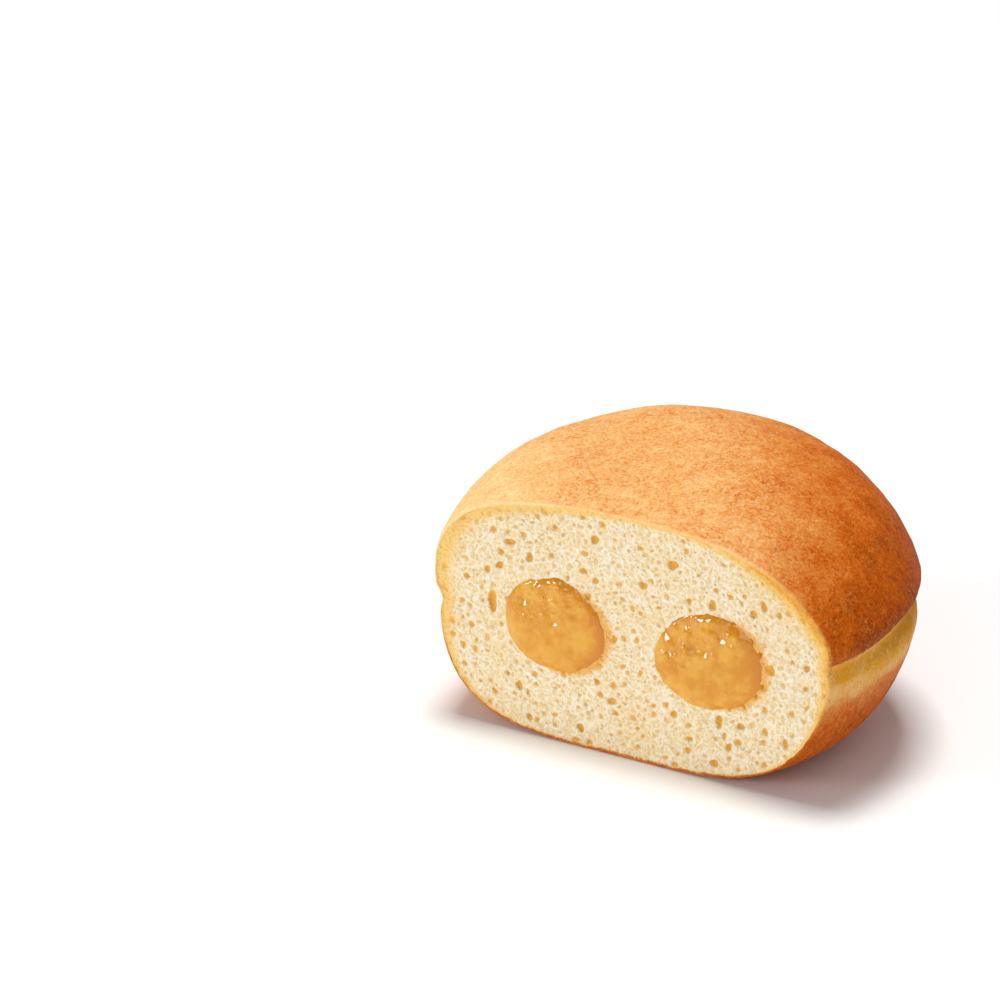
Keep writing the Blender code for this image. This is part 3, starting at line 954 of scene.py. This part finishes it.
@dataclass
class Crust:
    """Skin of the doughnut behind the cut, with a rounded lip that turns into the cut face.

    Each row of the tuck holds a share of the lip's inset and a distance behind the cut; each row of
    the relief holds a seed, a size and a depth; the side direction points to where the skin is browned
    and darkened by painted shade.
    """

    form: DoughForm
    cut: Cut
    cells: int = 236
    lip_setback: float = 0.35 * MM
    lip_inset: float = 0.32 * MM
    lip_inset_left: float = 0.50 * MM
    lip_left_angle: float = math.radians(158.0)
    lip_left_spread: float = math.radians(38.0)
    lip_waver: float = 0.12 * MM
    lip_waver_cell: float = 1.0 * MM
    lip_tuck: tuple = ((1.05, 0.0), (1.08, 0.06 * MM), (1.18, 1.2 * MM))
    lip_overlap: float = 0.05 * MM
    lip_rows: int = 6
    smoothing: int = 6
    relief: tuple = ((11, 6.0 * MM, 0.10 * MM), (12, 2.6 * MM, 0.07 * MM), (13, 1.3 * MM, 0.045 * MM))
    base_fade: float = 1.5 * MM
    plane_slack: float = 0.0001 * MM
    weld: float = 0.002 * MM
    wander_cell: float = 9.0 * MM
    waver_cell: float = 2.5 * MM
    pale_reach: float = 0.75 * MM
    browned_and_shaded_side: tuple[float, float] = (0.85, 0.527)
    rim_loop: np.ndarray = field(default_factory=lambda: np.empty((0, 3)))

    def build(self) -> bpy.types.Object:
        """Make the piece.

        Returns:
            The crust, in the part's frame, with its layers stored.
        """
        whole = self._skin()
        trimmed = self._trim(whole)
        self._find_rim(trimmed)
        piece = self._join(trimmed, self._lip())
        self._store_layers(piece)
        return piece

    def _skin(self) -> bpy.types.Object:
        """The whole skin as a ball grid on the form, moved along its normals by the relief.

        Returns:
            The closed skin, in the part's frame.
        """
        radius, angle, half, faces = ball_grid(self.cells)
        latitude = self.form.even_latitude(radius, half)
        points = self.cut.to_part(self.form.surface(angle, latitude))
        piece = put_mesh("crust", points, faces)
        height = np.zeros(len(points))
        for seed, cell, depth in self.relief:
            height += depth * LatticeNoise(seed, cell).at(points)
        height *= smooth_step(points[:, 2], 0.0, self.base_fade)
        points = points + read_normals(piece) * height[:, None]
        points[:, 2] = np.maximum(points[:, 2], 0.0)
        write_points(piece, points)
        return piece

    def _trim(self, piece: bpy.types.Object) -> bpy.types.Object:
        """Cut away what lies before the plane where the lip begins.

        Args:
            piece: The closed skin.

        Returns:
            The same piece, open at the cut.
        """
        bm = bmesh.new()
        bm.from_mesh(piece.data)
        whole = list(bm.verts) + list(bm.edges) + list(bm.faces)
        place, ahead = (0.0, self._lip_plane(), 0.0), (0.0, -1.0, 0.0)
        bmesh.ops.bisect_plane(
            bm, geom=whole, dist=self.plane_slack, plane_co=place, plane_no=ahead, clear_outer=True
        )
        bm.to_mesh(piece.data)
        bm.free()
        return piece

    def _lip_plane(self) -> float:
        """Y of the plane where the skin ends and the lip begins."""
        return self.cut.face + self.lip_setback

    def _find_rim(self, piece: bpy.types.Object) -> None:
        """Keep the skin's open edge as a loop, ordered by its angle round the middle of the cut.

        Args:
            piece: The trimmed skin.
        """
        points = read_points(piece)
        loop = points[np.abs(points[:, 1] - self._lip_plane()) < 1.5 * self.plane_slack]
        self.rim_loop = loop[np.argsort(self._angle(loop))]

    def _angle(self, points: np.ndarray) -> np.ndarray:
        """Angle of places round the middle of the cut face."""
        return np.arctan2(points[:, 2] - self.cut.centre[1], points[:, 0] - self.cut.middle)

    def inset(self, angle: np.ndarray) -> np.ndarray:
        """How far inside the rim the lip ends: widest on the upper left, and wavering.

        Args:
            angle: Angle round the middle of the cut face.

        Returns:
            Distance at each angle.
        """
        on_left = bell(turn_from(self.lip_left_angle, angle), self.lip_left_spread)
        wide = self.lip_inset + (self.lip_inset_left - self.lip_inset) * on_left
        ring = self.form.outer_radius * on_sheet(np.cos(angle), np.sin(angle))
        return wide + self.lip_waver * LatticeNoise(17, self.lip_waver_cell).at(ring)

    def _lip(self) -> bpy.types.Object:
        """The lip: a quarter ellipse from the skin to the cut face, a narrow flat strip, then a tuck.

        Each row is the skin's open edge moved inwards by a share of the inset: 1 - cos of the turn on
        the quarter ellipse, where the distance behind the cut is the setback times 1 - sin.

        Returns:
            The lip, as a piece of its own.
        """
        before = np.roll(self.rim_loop, self.smoothing, axis=0)
        ahead = np.roll(self.rim_loop, -self.smoothing, axis=0) - before
        inward = on_sheet(-ahead[:, 2], ahead[:, 0])
        inward /= np.linalg.norm(inward, axis=1)[:, None]
        turn = np.linspace(0.0, 0.5 * math.pi, self.lip_rows + 1)
        tuck = np.array(self.lip_tuck)
        share = np.append(1.0 - np.cos(turn), tuck[:, 0])
        behind = np.append(self.lip_setback * (1.0 - np.sin(turn)), tuck[:, 1])
        inset = self.inset(self._angle(self.rim_loop))
        points = self.rim_loop[None] + (share[:, None] * inset[None])[..., None] * inward[None]
        points[..., 1] = self.cut.face + behind[:, None]
        numbers = np.arange(points.shape[0] * points.shape[1]).reshape(points.shape[:2])
        wrapped = np.concatenate([numbers, numbers[:, :1]], axis=1)
        return put_mesh("lip", points.reshape(-1, 3), grid_faces(wrapped))

    def _join(self, piece: bpy.types.Object, lip: bpy.types.Object) -> bpy.types.Object:
        """Weld the lip to the skin's open edge and delete the loose one.

        Args:
            piece: The trimmed skin.
            lip: The lip.

        Returns:
            The skin with its lip.
        """
        bm = bmesh.new()
        bm.from_mesh(piece.data)
        bm.from_mesh(lip.data)
        bmesh.ops.remove_doubles(bm, verts=bm.verts, dist=self.weld)
        bm.to_mesh(piece.data)
        bm.free()
        bpy.data.objects.remove(lip)
        piece.data.shade_smooth()
        return piece

    def crumb_reach(self, angle: np.ndarray) -> np.ndarray:
        """Distance from the middle of the cut face to just under the lip's inner edge at each angle.

        Args:
            angle: Angle round the middle of the cut face.

        Returns:
            Distance at each angle.
        """
        loop = self.rim_loop
        reach = np.hypot(loop[:, 0] - self.cut.middle, loop[:, 2] - self.cut.centre[1])
        outline = np.interp(angle, self._angle(loop), reach, period=FULL_TURN)
        return outline - self.inset(angle) + self.lip_overlap

    def _store_layers(self, piece: bpy.types.Object) -> None:
        """Store how toasted the skin is, partly as painted light and shade, its pale band under the
        dome and its lip at the cut.

        The lip is a bell in the distance behind the cut, which fades towards the base.

        Args:
            piece: The skin with its lip.
        """
        points = read_points(piece)
        round_axis = self.cut.to_axis(points)
        azimuth = np.arctan2(round_axis[:, 1], round_axis[:, 0])
        below = self.form.crease_height(azimuth) - points[:, 2]
        wander = LatticeNoise(21, self.wander_cell).at(points)
        waver = LatticeNoise(22, self.waver_cell).at(points)
        level = smooth_step(points[:, 2], 6.0 * MM, 20.0 * MM)
        lip = bell(points[:, 1] - self.cut.face, self.pale_reach) * (0.80 + 0.20 * wander) * level
        toast = self._toast_and_painted_shade(round_axis, below)
        band = self._band(below, 1.2 * wander + 0.8 * waver)
        for layer, values in ((Layer.TOAST, toast), (Layer.BAND, band), (Layer.LIP, lip)):
            write_layer(piece, layer, np.clip(values, 0.0, 1.0))

    def _toast_and_painted_shade(self, round_axis: np.ndarray, below: np.ndarray) -> np.ndarray:
        """How toasted the skin is, partly real browning and partly painted light and shade: darker on
        the side away from the lamps and down the dome's shoulder, paler on the lit side opposite.

        Args:
            round_axis: Places round the doughnut's axis.
            below: How far each lies below the crease.

        Returns:
            One value for each place; under the crease it rises towards the base.
        """
        # Painted light and shade mixed with real browning: darker towards the shaded side and down the
        # dome's shoulder, paler on the lit side.
        across = round_axis[:, 0] * self.browned_and_shaded_side[0] + round_axis[:, 1] * self.browned_and_shaded_side[1]
        across = across / self.form.outer_radius
        shoulder = smooth_step(-round_axis[:, 2], -44.0 * MM, -28.0 * MM)
        upper = 0.40 + 0.42 * smooth_step(across, 0.0, 0.9) - 0.27 * smooth_step(-across, 0.2, 1.0)
        upper += 0.16 * shoulder * smooth_step(across, -0.6, 0.4)
        lower = 0.42 + 0.30 * smooth_step(below, 4.0 * MM, 12.0 * MM) + 0.12 * across
        return np.where(below > 0.0, lower, upper)

    @staticmethod
    def _band(below: np.ndarray, waver: np.ndarray) -> np.ndarray:
        """Pale band: starts at the crease and fades out below it, along a line that wavers in mm.

        Args:
            below: How far each place lies below the crease.
            waver: How far the line is moved there, in mm.

        Returns:
            One value for each place.
        """
        sunk = below + waver * MM * smooth_step(below, 1.0 * MM, 4.0 * MM)
        starts = smooth_step(below, -1.2 * MM, 0.2 * MM)
        return starts * (1.0 - smooth_step(sunk, 2.0 * MM, 9.5 * MM))


@dataclass(frozen=True)
class PoreTier:
    """Pores of one size: how many are tried, their half lengths and the wall left between any two."""

    tries: int
    low: float
    high: float
    wall: float


@dataclass
class PoreMap:
    """Depth map of the crumb's pores over the cut face.

    Each pore is a bowl on a turned, wavy ellipse. The largest are where the solid has them, each with
    its place along X and Z, its half length and half width in mm, and its turn in degrees. The others
    are drawn tier by tier, from large to small, where there is room.
    """

    cut: Cut
    pitch: float = 0.06 * MM
    half_width: float = 42.0 * MM
    half_height: float = 25.0 * MM
    seed: int = 5
    large_wall: float = 0.2 * MM
    small_bias: float = 1.6
    large: tuple = (
        (-23.5, 34.9, 1.25, 0.70, 12.0),
        (-19.5, 32.9, 0.95, 0.80, 90.0),
        (-8.8, 32.8, 1.10, 0.60, 0.0),
        (3.0, 32.8, 1.00, 0.75, -15.0),
        (8.7, 37.7, 1.15, 0.95, 40.0),
        (16.5, 32.1, 1.15, 0.80, 75.0),
        (26.3, 34.1, 1.30, 0.65, 110.0),
        (27.8, 22.9, 1.10, 0.90, -35.0),
        (30.9, 10.0, 1.15, 0.70, 100.0),
        (18.1, 11.2, 1.35, 0.75, 85.0),
        (17.3, 3.2, 1.00, 0.75, 12.0),
        (-3.0, 9.9, 1.10, 0.75, 20.0),
        (-21.6, 8.6, 0.95, 0.80, 80.0),
        (-27.0, 23.3, 2.20, 0.95, 90.0),
    )
    tiers: tuple = (
        PoreTier(2600, 0.40 * MM, 0.90 * MM, 0.24 * MM),
        PoreTier(8000, 0.26 * MM, 0.44 * MM, 0.15 * MM),
        PoreTier(9000, 0.17 * MM, 0.26 * MM, 0.10 * MM),
    )

    def draw(self) -> None:
        """Fill the map, with the drawn pores stretched round the middle of the cut face."""
        columns = int(2.0 * self.half_width / self.pitch)
        rows = int(2.0 * self.half_height / self.pitch)
        self.depth = np.zeros((rows, columns), dtype=np.float32)
        self.taken = np.zeros((rows, columns), dtype=bool)
        draw = np.random.default_rng(self.seed)
        for x, z, length, width, turn in self.large:
            shape = 0.6 + 0.4 * draw.random()
            turn = math.radians(turn)
            self._sink(x * MM, z * MM, length * MM, width * MM, turn, self.large_wall, shape)
        for tier in self.tiers:
            made = 0
            for u, v, size, squash, tilt, shape in draw.random((tier.tries, 6)):
                x = self.cut.centre[0] + (2.0 * u - 1.0) * self.half_width
                z = self.cut.centre[1] + (2.0 * v - 1.0) * self.half_height
                length = tier.low + (tier.high - tier.low) * size**self.small_bias
                width = length * (0.55 + 0.4 * squash)
                turn = math.atan2(z - self.cut.centre[1], 0.55 * (x - self.cut.centre[0]))
                turn += 0.5 * math.pi + 1.6 * (tilt - 0.5)
                made += self._sink(x, z, length, width, turn, tier.wall, shape)
            log.info("pores of %.2f to %.2f mm: %d", tier.low / MM, tier.high / MM, made)

    def _sink(
        self, x: float, z: float, length: float, width: float, turn: float, wall: float, shape: float
    ) -> bool:
        """Sink one pore into the map if its place is free.

        Args:
            x: Middle of the pore along X, round the doughnut's axis.
            z: Middle of the pore along Z.
            length: Half its length.
            width: Half its width.
            turn: Turn of its length up from the horizontal.
            wall: Wall kept round it.
            shape: From 0 to 1, which turns the waves of its edge and deepens it.

        Returns:
            Whether it was sunk.
        """
        column, row = self._cell(x, z)
        span = int((length + wall) / self.pitch) + 2
        left, low = int(column) - span, int(row) - span
        rows, columns = self.depth.shape
        if left < 0 or low < 0 or left + 2 * span > columns or low + 2 * span > rows:
            return False
        window = (slice(low, low + 2 * span), slice(left, left + 2 * span))
        dx = (np.arange(left, left + 2 * span) - column)[None, :] * self.pitch
        dz = (np.arange(low, low + 2 * span) - row)[:, None] * self.pitch
        along = dx * math.cos(turn) + dz * math.sin(turn)
        aside = -dx * math.sin(turn) + dz * math.cos(turn)
        around = np.arctan2(aside, along)
        waves = 1.0 + 0.09 * np.cos(3.0 * around + 37.0 * shape)
        waves += 0.07 * np.cos(2.0 * around - 23.0 * shape)
        waves += 0.04 * np.cos(5.0 * around + 51.0 * shape)
        ring = np.sqrt((along / length) ** 2 + (aside / width) ** 2) * waves
        walled = np.sqrt((along / (length + wall)) ** 2 + (aside / (width + wall)) ** 2) * waves < 1.0
        if self.taken[window][walled].any():
            return False
        self.taken[window] |= ring < 1.0
        bowl = (0.30 + 0.50 * shape) * width * powered(1.0 - ring**2, 0.8)
        self.depth[window] = np.maximum(self.depth[window], bowl)
        return True

    def _cell(self, x: float | np.ndarray, z: float | np.ndarray) -> tuple:
        """Column and row of a place in the cut face, with their fractions.

        Args:
            x: Places along X, round the doughnut's axis.
            z: Places along Z.

        Returns:
            Both, in cells of the map.
        """
        column = (x - self.cut.centre[0] + self.half_width) / self.pitch
        row = (z - self.cut.centre[1] + self.half_height) / self.pitch
        return column, row

    def at(self, x: np.ndarray, z: np.ndarray) -> np.ndarray:
        """Depth of the pores at places in the cut face, read between the map's points.

        Args:
            x: Places along X, round the doughnut's axis.
            z: Places along Z.

        Returns:
            Depth at each place.
        """
        column, row = self._cell(x, z)
        column = np.clip(column, 0, self.depth.shape[1] - 2)
        row = np.clip(row, 0, self.depth.shape[0] - 2)
        left, low = column.astype(int), row.astype(int)
        u, v = column - left, row - low
        below = self.depth[low, left] * (1.0 - u) + self.depth[low, left + 1] * u
        above = self.depth[low + 1, left] * (1.0 - u) + self.depth[low + 1, left + 1] * u
        return below * (1.0 - v) + above * v


@dataclass
class Crumb:
    """The cut face: open crumb with its pores, and the two pockets of the jelly."""

    cut: Cut
    crust: Crust
    lobes: tuple
    across: int = 392
    upwards: int = 236
    swell_depth: float = 0.16 * MM
    swell_cell: float = 7.0 * MM
    fluff_depth: float = 0.06 * MM
    fluff_cell: float = 1.1 * MM
    rim_width: float = 0.6 * MM
    rim_more_right: float = 2.2 * MM
    rim_more_left: float = 3.0 * MM
    right_angle: float = math.radians(22.0)
    right_spread: float = math.radians(26.0)
    left_angle: float = math.radians(162.0)
    left_spread: float = math.radians(34.0)
    brown_width: float = 0.45 * MM
    pore_shade_depth: float = 0.35 * MM
    pocket_grow: float = -0.7 * MM
    pore_fade: float = 0.7 * MM
    behind_lip: float = 0.07 * MM

    def build(self) -> bpy.types.Object:
        """Make the piece: a relief over the cut face, out to the inner edge of the crust's lip.

        Its depth is the pores and the soft swell, both flat near the rim and the jelly, or where it is
        greater the pocket: a superellipse behind each lobe's oval.

        Returns:
            The crumb, in the part's frame, with its layers stored.
        """
        disc = DiscGrid(self.across, self.upwards)
        radius, angle = disc.polar()
        reach = self.crust.crumb_reach(angle)
        x = self.cut.centre[0] + radius * reach * np.cos(angle)
        z = self.cut.centre[1] + radius * reach * np.sin(angle)
        from_rim = reach * (1.0 - radius)

        pores = PoreMap(self.cut)
        pores.draw()
        pore = pores.at(x, z) * smooth_step(from_rim, 0.0, self.pore_fade)
        flat = on_sheet(x, z)
        swell = self.swell_depth * (0.5 + 0.5 * LatticeNoise(31, self.swell_cell).at(flat))
        fluff = self.fluff_depth * (0.5 + 0.5 * LatticeNoise(32, self.fluff_cell).at(flat))
        soft = (swell + fluff) * smooth_step(from_rim, 0.0, 0.5 * MM)
        soak = np.zeros_like(x)
        pocket = np.zeros_like(x)
        for lobe in self.lobes:
            share, around = lobe.place_in(x, z, 0.0)
            outside = (share - 1.0) * lobe.half_height
            pore = pore * smooth_step(outside, 0.0, self.pore_fade)
            soft = soft * smooth_step(outside, -0.2 * MM, 2.0 * MM)
            soak = np.maximum(soak, self._soak(lobe, share, around))
            share, around = lobe.place_in(x, z, self.pocket_grow)
            hollow = powered(1.0 - powered(share, lobe.power), 1.0 / lobe.power)
            pocket = np.maximum(pocket, lobe.reach * hollow)
        y = self.cut.face + self.behind_lip + np.maximum(pore + soft, pocket)
        points = np.stack([x + self.cut.shift[0], y, z], axis=-1)
        piece = put_mesh("crumb", points, grid_faces(disc.numbers()))
        # Pore depth, which the finish paints as shade and glow inside the pores.
        write_layer(piece, Layer.PORE, np.clip(pore / self.pore_shade_depth, 0.0, 1.0))
        write_layer(piece, Layer.SOAK, soak)
        self._store_rim(piece, angle, from_rim)
        return piece

    def _store_rim(self, piece: bpy.types.Object, angle: np.ndarray, from_rim: np.ndarray) -> None:
        """Store the golden rim, a bell that is wider on both sides, and the browned line below.

        Args:
            piece: The crumb.
            angle: Angle of each vertex round the middle of the cut face.
            from_rim: Distance of each vertex from the lip.
        """
        right = bell(turn_from(self.right_angle, angle), self.right_spread)
        left = bell(turn_from(self.left_angle, angle), self.left_spread)
        width = self.rim_width + self.rim_more_right * right + self.rim_more_left * left
        under = smooth_step(-np.sin(angle), 0.25, 0.8)
        write_layer(piece, Layer.RIM, (0.9 + 0.45 * right) * bell(from_rim, width))
        write_layer(piece, Layer.TOAST, under * bell(from_rim, self.brown_width))

    @staticmethod
    def _soak(lobe: LobeForm, share: np.ndarray, around: np.ndarray) -> np.ndarray:
        """How far the crumb beside a lobe is soaked: strongest on the lobe's right, lower side.

        Args:
            lobe: The lobe's form.
            share: Share of the way out to its oval, 1 on it.
            around: Angle round the lobe's middle.

        Returns:
            One value for each place, 1 within the oval.
        """
        outside = (share - 1.0) * lobe.half_height
        side = smooth_step(np.cos(around + math.radians(10.0)), -0.2, 1.0)
        return np.where(outside > 0.0, bell(outside, (0.45 + 1.5 * side) * MM), 1.0)


@dataclass
class Jelly:
    """One lobe of jelly: a shallow, lumpy crown at the cut and a blunt finger into the dough."""

    name: str
    form: LobeForm
    cut: Cut
    seed: int
    cells: int = 150
    crown_share: float = 0.85
    lump_depth: float = 0.16 * MM
    lump_cell: float = 3.0 * MM
    ripple_depth: float = 0.33 * MM
    ripple_cell: float = 1.6 * MM
    bead_count: int = 22
    bead_radius: tuple = (0.40 * MM, 1.05 * MM)
    bead_height: float = 0.24
    wet_angle: float = math.radians(120.0)
    wet_spread: float = math.radians(75.0)
    edge_waver: float = 0.24 * MM
    edge_cell: float = 1.9 * MM
    edge_grow: float = 0.85 * MM
    edge_sink: float = 0.5 * MM

    def build(self) -> bpy.types.Object:
        """Make the piece.

        The half before the cut is the oval scaled by the ring's radius r. It rises by the crown times
        1 - 0.4 r^2 - 0.6 r^6, plus the relief times 1 - r^6, and sinks behind the cut by r^16 at its
        edge. The half behind it is a superellipse along its length.

        Returns:
            The jelly, in the part's frame, with its layers stored.
        """
        radius, angle, half, faces = ball_grid(self.cells)
        front = half > 0.0
        latitude = 0.5 * math.pi * (1.0 - radius)
        scale = np.where(front, radius, powered(np.cos(latitude), 2.0 / self.form.power))
        across, upwards = self.form.outline(angle, self.edge_grow)
        ring = np.stack([np.cos(angle), np.sin(angle), np.zeros_like(angle)], axis=-1)
        noise = LatticeNoise(self.seed + 3, self.edge_cell).at(self.form.half_width * ring)
        waver = 1.0 + self.edge_waver / self.form.half_width * noise
        x = self.form.centre[0] + across * scale * waver
        z = self.form.centre[1] + upwards * scale * waver
        run_back = self.form.reach * powered(np.sin(latitude), 2.0 / self.form.power)
        run_back = self.edge_sink + (1.0 - self.edge_sink / self.form.reach) * run_back
        crown = self.crown_share * self.form.crown * (1.0 - 0.4 * radius**2 - 0.6 * radius**6)
        crown = crown + self._relief(on_sheet(x, z)) * (1.0 - radius**6) - self.edge_sink * radius**16
        y = -self.cut.offset + np.where(front, -crown, run_back)
        points = self.cut.to_part(np.stack([x, y, z], axis=-1))
        piece = put_mesh(self.name, points, faces)
        write_layer(piece, Layer.RIM_SHADE, self._painted_rim_shade(np.where(front, radius, 1.0), angle))
        write_layer(piece, Layer.WET, np.where(front, self._wetness(radius, angle), 0.0))
        return piece

    def _wetness(self, radius: np.ndarray, angle: np.ndarray) -> np.ndarray:
        """How wet the surface looks: from 0 on the lower side to 1 on the upper one."""
        return smooth_step(radius * np.cos(angle - self.wet_angle), -0.35, 0.35)

    def _relief(self, flat: np.ndarray) -> np.ndarray:
        """Height of the wet surface over a smooth crown: lumps, ripples and small raised beads.

        Lumps and ripples are noise; each bead is (1 - t^2)^1.5 of its height at the share t of its
        radius.

        Args:
            flat: Places in the plane Y = 0.

        Returns:
            Height at each place.
        """
        lumps = self.lump_depth * LatticeNoise(self.seed, self.lump_cell).at(flat)
        share, around = self.form.place_in(flat[:, 0], flat[:, 2], 0.0)
        rough = 0.20 + 0.80 * self._wetness(share, around)
        ripples = self.ripple_depth * rough * LatticeNoise(self.seed + 1, self.ripple_cell).at(flat)
        draw = np.random.default_rng(self.seed + 2)
        beads = np.zeros(len(flat))
        for u, v, size in draw.random((self.bead_count, 3)):
            turn = self.wet_angle + self.wet_spread * (2.0 * u - 1.0)
            out = 0.25 + 0.65 * v
            x = self.form.centre[0] + self.form.half_width * out * math.cos(turn)
            z = self.form.centre[1] + self.form.half_height * out * math.sin(turn)
            reach = self.bead_radius[0] + (self.bead_radius[1] - self.bead_radius[0]) * size**2
            ring = np.hypot(flat[:, 0] - x, flat[:, 2] - z) / reach
            beads = np.maximum(beads, self.bead_height * reach * powered(1.0 - ring**2, 1.5))
        return lumps + ripples + beads

    @staticmethod
    def _painted_rim_shade(radius: np.ndarray, angle: np.ndarray) -> np.ndarray:
        """Painted shade: the amber is darker towards the upper right and along the right and lower
        rims.

        Args:
            radius: Share of the way out to the rim.
            angle: Angle round the lobe's middle.

        Returns:
            One value for each place.
        """
        side = 0.5 + 0.5 * np.cos(angle - math.radians(20.0))
        rim = smooth_step(radius, 0.66, 0.98)
        return np.clip(rim * (0.10 + 0.80 * side) + 0.30 * side * radius, 0.0, 1.0)


@dataclass(frozen=True)
class Lamp:
    """A square soft light: its place as right, away from the camera and up, its side and its power."""

    name: str
    place: tuple[float, float, float]
    side: float
    power: float
    colour: tuple[float, float, float] = (1.0, 1.0, 1.0)


@dataclass
class Studio:
    """Plain floor, soft lights and the camera, placed round the photograph's own axes.

    Those axes are turned from the part's by the turn, and the camera stands at the elevation, both in
    radians.
    """

    cut: Cut
    turn: float = 0.555
    aim: tuple[float, float] = (30.7 * MM, -53.7 * MM)
    aim_height: float = 20.0 * MM
    elevation: float = 0.385
    distance: float = 947.2 * MM
    lens: float = 187.2
    sensor: float = 36.0
    floor_half: float = 3.0
    surround: float = 0.30
    lamps: tuple = (
        Lamp("key", (-0.08, 0.42, 2.95), 1.00, 71.0, (1.0, 0.995, 0.985)),
        Lamp("fill", (-0.30, -1.00, 0.50), 0.60, 2.0),
        Lamp("softbox", (-1.02, -0.34, 0.23), 0.25, 3.4),
    )

    def to_part(self, place: tuple) -> Vector:
        """Part-frame place of a place given as right, away from the camera and up.

        Args:
            place: The place, along the photograph's own axes.

        Returns:
            The same place.
        """
        right, away, up = place[0] - self.aim[0], place[1] - self.aim[1], place[2]
        cosine, sine = math.cos(self.turn), math.sin(self.turn)
        x = right * cosine - away * sine + self.cut.shift[0]
        y = right * sine + away * cosine + self.cut.shift[1]
        return Vector((x, y, up))

    def build(self) -> None:
        """Make the floor, the lights, the world and the camera."""
        self._floor()
        self._camera()
        for lamp in self.lamps:
            self._light(lamp)
        self._world()

    def _floor(self) -> None:
        """A level sheet that the doughnut stands on."""
        side = np.linspace(-self.floor_half, self.floor_half, 5)
        x, y = np.meshgrid(side, side)
        points = np.stack([x.ravel(), y.ravel(), np.zeros(x.size)], axis=-1)
        floor = put_mesh("floor", points, grid_faces(np.arange(x.size).reshape(x.shape)))
        floor.data.materials.append(FloorFinish().make())

    def _camera(self) -> None:
        """A long lens that looks slightly down on the cut face from the left."""
        data = bpy.data.cameras.new("camera")
        data.lens = self.lens
        data.sensor_width = self.sensor
        data.clip_start = 0.01
        camera = bpy.data.objects.new("camera", data)
        bpy.context.scene.collection.objects.link(camera)
        run, rise = self.distance * math.cos(self.elevation), self.distance * math.sin(self.elevation)
        camera.location = self.to_part((0.0, -run, self.aim_height + rise))
        target = self.to_part((0.0, 0.0, self.aim_height))
        camera.rotation_euler = (target - camera.location).to_track_quat("-Z", "Y").to_euler()
        bpy.context.scene.camera = camera

    def _light(self, lamp: Lamp) -> None:
        """Hang one lamp so that it faces the doughnut.

        Args:
            lamp: The lamp.
        """
        data = bpy.data.lights.new(lamp.name, "AREA")
        data.size = lamp.side
        data.energy = lamp.power
        data.color = lamp.colour
        light = bpy.data.objects.new(lamp.name, data)
        bpy.context.scene.collection.objects.link(light)
        target = self.to_part((*self.aim, self.aim_height))
        light.location = self.to_part(lamp.place) - self.to_part((0.0, 0.0, 0.0))
        light.rotation_euler = (target - light.location).to_track_quat("-Z", "Y").to_euler()

    def _world(self) -> None:
        """An even, pale surround, and plain display of the colours."""
        world = bpy.data.worlds.new("surround")
        world.use_nodes = True
        background = world.node_tree.nodes["Background"]
        background.inputs["Color"].default_value = (1.0, 1.0, 1.0, 1.0)
        background.inputs["Strength"].default_value = self.surround
        bpy.context.scene.world = world
        bpy.context.scene.view_settings.view_transform = "Standard"


def hand_over(piece: bpy.types.Object, material: bpy.types.Material, slot: Slot, *nodes: str) -> None:
    """Dress a finished piece, put it on its body and let it stand for its solids.

    Args:
        piece: The finished piece.
        material: Its finish.
        slot: The record's slot for its finish; not used.
        *nodes: The solids that it stands for.
    """
    piece.data.materials.append(material)
    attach(piece, BODY_NAME)
    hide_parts(*nodes)
    log.info("%s: %d faces, stands for %s", piece.name, len(piece.data.polygons), ", ".join(nodes))


def main() -> None:
    """Build every piece in order, then the studio."""
    logging.basicConfig(level=logging.INFO, format="%(name)s: %(message)s")
    form = DoughForm()
    cut = Cut.fitted(form)
    log.info("axis of the doughnut at %.3f, %.3f mm", cut.shift[0] / MM, cut.shift[1] / MM)
    left = LobeForm(
        centre=(-14.4 * MM, 21.5 * MM), half_width=9.6 * MM, half_height=7.9 * MM,
        tilt=math.radians(-4.0), wobble_turn=0.6, bud=0.6 * MM,
    )
    right = LobeForm(
        centre=(15.9 * MM, 21.6 * MM), half_width=10.0 * MM, half_height=8.1 * MM,
        tilt=math.radians(12.0), wobble_turn=2.4,
    )

    crust = Crust(form, cut)
    hand_over(crust.build(), CrustFinish().make(), Slot.DOUGH, "dough")
    crumb = Crumb(cut, crust, (left, right))
    hand_over(crumb.build(), CrumbFinish().make(), Slot.CRUMB, "dough")
    amber = JellyFinish().make()
    lobes = (("jelly_left", "filling_left", left, 41), ("jelly_right", "filling_right", right, 51))
    for name, node, lobe, seed in lobes:
        hand_over(Jelly(name, lobe, cut, seed).build(), amber, Slot.JELLY, node)
    Studio(cut).build()


if __name__ == "__main__":
    main()
